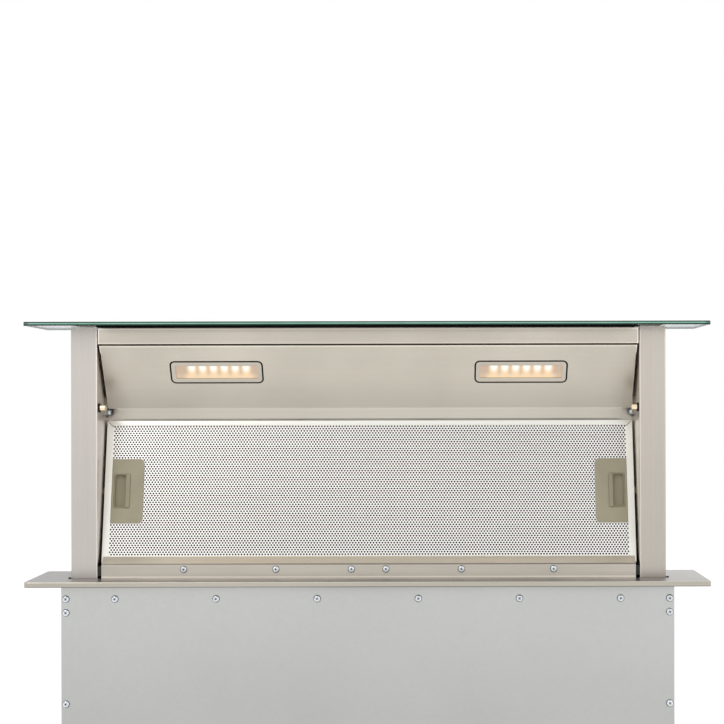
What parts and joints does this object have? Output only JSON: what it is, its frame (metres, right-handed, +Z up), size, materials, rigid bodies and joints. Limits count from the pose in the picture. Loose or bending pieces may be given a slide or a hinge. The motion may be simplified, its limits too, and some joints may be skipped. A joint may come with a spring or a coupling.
{
  "type": "retractable range hood",
  "caption": "Downdraft range hood that rises from the worktop on ball slides, with a leaning grease filter, sloping lamp panel, glass top, lift actuator and blower.",
  "frame": {"origin": "middle of the worktop trim's underside, where it rests on the worktop", "axes": "+X to the right seen from the cook's side, +Y to the back, +Z up"},
  "size_m": [0.88, 0.2924, 1.052],
  "materials": {
    "trim_steel": "satin brushed",
    "brushed_steel": "satin brushed",
    "galvanised_sheet": "galvanised",
    "zinc_plate": "bright zinc",
    "brass": "turned",
    "filter_alloy": "satin",
    "filter_core": "expanded mesh",
    "scroll_alloy": "pressed",
    "latch_plastic": "fine grain",
    "slider_plastic": "fine grain",
    "black_plastic": "matt",
    "black_rubber": "matt",
    "black_steel": "satin black",
    "glass": "clear, green edge",
    "lens": "frosted",
    "circuit": "coated board",
    "control_circuit": "coated board"
  },
  "bodies": {
    "housing": {"worktop_trim": "trim_steel", "trim_gasket": "black_rubber", "housing_front": "galvanised_sheet", "housing_back": "galvanised_sheet", "housing_left_side": "galvanised_sheet", "housing_right_side": "galvanised_sheet", "housing_base": "galvanised_sheet", "housing_screws": "zinc_plate", "floor_feet": "galvanised_sheet", "left_slide_outer": "zinc_plate", "right_slide_outer": "zinc_plate", "actuator_tube": "black_steel", "actuator_gear_case": "black_steel", "actuator_foot": "zinc_plate", "actuator_lower_pin": "zinc_plate", "blower_box": "galvanised_sheet", "blower_cover": "galvanised_sheet", "blower_scroll": "scroll_alloy", "scroll_front": "scroll_alloy", "scroll_back": "scroll_alloy", "fan_motor": "black_steel", "inlet_ring": "black_plastic", "outlet_spigot": "black_plastic", "control_box": "black_plastic", "control_board": "control_circuit", "cable_gland": "black_plastic"},
    "tower": {"left_column": "brushed_steel", "right_column": "brushed_steel", "header_rail": "brushed_steel", "back_panel": "brushed_steel", "bottom_rail": "brushed_steel", "rail_screws": "zinc_plate", "glass_top": "glass", "glass_seal": "black_rubber", "top_plate": "galvanised_sheet", "drip_tray": "galvanised_sheet", "lower_frame": "galvanised_sheet", "stop_bushes": "brass", "bush_collars": "black_rubber", "pivot_screws": "zinc_plate", "left_slide_inner": "zinc_plate", "right_slide_inner": "zinc_plate", "actuator_rod": "zinc_plate", "actuator_head_bracket": "zinc_plate", "actuator_upper_pin": "zinc_plate"},
    "left_slide_carrier": {"left_slide_middle": "zinc_plate"},
    "right_slide_carrier": {"right_slide_middle": "zinc_plate"},
    "lamp_panel": {"lamp_panel": "brushed_steel", "left_lamp_bezel": "brushed_steel", "right_lamp_bezel": "brushed_steel", "left_lamp_lens": "lens", "right_lamp_lens": "lens", "lamp_boards": "circuit"},
    "filter": {"filter_frame": "filter_alloy", "filter_mesh": "filter_alloy", "filter_core": "filter_core", "left_latch_plate": "latch_plastic", "right_latch_plate": "latch_plastic"},
    "left_latch": {"left_latch_slider": "slider_plastic"},
    "right_latch": {"right_latch_slider": "slider_plastic"},
    "fan": {"impeller_hub": "zinc_plate", "impeller_blades": "zinc_plate", "impeller_rim": "zinc_plate"}
  },
  "joints": [
    {"name": "tower_lift", "type": "slide", "parent": "housing", "child": "tower", "axis": [0, 0, 1], "range_m": [-0.326, 0]},
    {"name": "left_slide_run", "type": "slide", "parent": "housing", "child": "left_slide_carrier", "axis": [0, 0, 1], "range_m": [-0.163, 0]},
    {"name": "right_slide_run", "type": "slide", "parent": "housing", "child": "right_slide_carrier", "axis": [0, 0, 1], "range_m": [-0.163, 0]},
    {"name": "lamp_panel_tilt", "type": "hinge", "parent": "tower", "child": "lamp_panel", "pos_m": [0, 0.038, 0.2232], "axis": [1, 0, 0], "range_deg": [0, 40]},
    {"name": "filter_tilt", "type": "hinge", "parent": "tower", "child": "filter", "pos_m": [0, -0.0092, 0.034], "axis": [1, 0, 0], "range_deg": [0, 60]},
    {"name": "left_latch_slide", "type": "slide", "parent": "filter", "child": "left_latch", "axis": [1, 0, 0], "range_m": [0, 0.004], "stiffness_N_per_m": 400},
    {"name": "right_latch_slide", "type": "slide", "parent": "filter", "child": "right_latch", "axis": [-1, 0, 0], "range_m": [0, 0.004], "stiffness_N_per_m": 400},
    {"name": "impeller_spin", "type": "hinge", "parent": "housing", "child": "fan", "pos_m": [-0.03, -0.2, -0.56], "axis": [0, 1, 0], "continuous": true}
  ],
  "couplings": [
    {"joint": "left_slide_run", "follows": "tower_lift", "ratio": 0.5},
    {"joint": "right_slide_run", "follows": "tower_lift", "ratio": 0.5}
  ]
}
